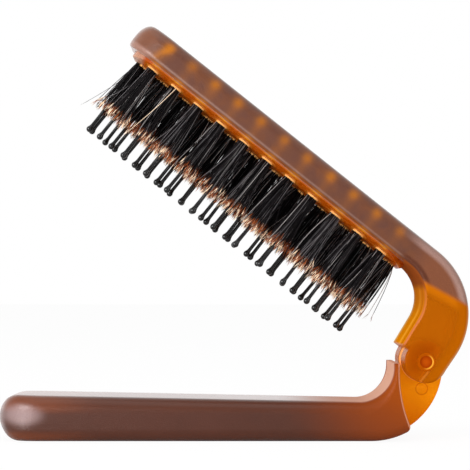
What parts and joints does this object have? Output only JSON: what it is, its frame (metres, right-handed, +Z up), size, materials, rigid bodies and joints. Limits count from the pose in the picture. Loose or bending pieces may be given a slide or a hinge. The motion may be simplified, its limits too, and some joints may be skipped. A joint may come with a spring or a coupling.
{
  "type": "folding hairbrush",
  "caption": "Pocket hairbrush whose tufted head folds down onto a slim handle about a pinned clevis hinge, with a flat mirror let into the head's back.",
  "frame": {"origin": "centre of the handle's flat back, which the brush rests on", "axes": "+Z up from the flat back, +X along the handle from its free end towards the hinge, +Y across the brush"},
  "size_m": [0.108, 0.02, 0.0957],
  "materials": {
    "frosted_plastic": "satin, translucent",
    "amber_plastic": "satin, translucent",
    "boar_bristle": "natural bristle, pale split tips",
    "black_nylon": "glossy",
    "anchor_wire": "galvanised",
    "mirror_glass": "polished",
    "foam_tape": "matte"
  },
  "bodies": {
    "handle": {"handle_body": "frosted_plastic"},
    "brush_head": {"head_frame": "frosted_plastic", "hinge_pin": "amber_plastic", "tuft_plate": "amber_plastic", "mirror_glass": "mirror_glass", "mirror_tape": "foam_tape", "bristle_tufts_front": "boar_bristle", "bristle_tufts_middle": "boar_bristle", "bristle_tufts_rear": "boar_bristle", "nylon_pins_front": "black_nylon", "nylon_pins_middle": "black_nylon", "nylon_pins_rear": "black_nylon", "tuft_anchors_front": "anchor_wire", "tuft_anchors_middle": "anchor_wire", "tuft_anchors_rear": "anchor_wire"}
  },
  "joints": [
    {"name": "fold", "type": "hinge", "parent": "handle", "child": "brush_head", "pos_m": [0.0526, 0, 0.0183], "axis": [0, 1, 0], "range_deg": [-38.5, 141.5]}
  ]
}
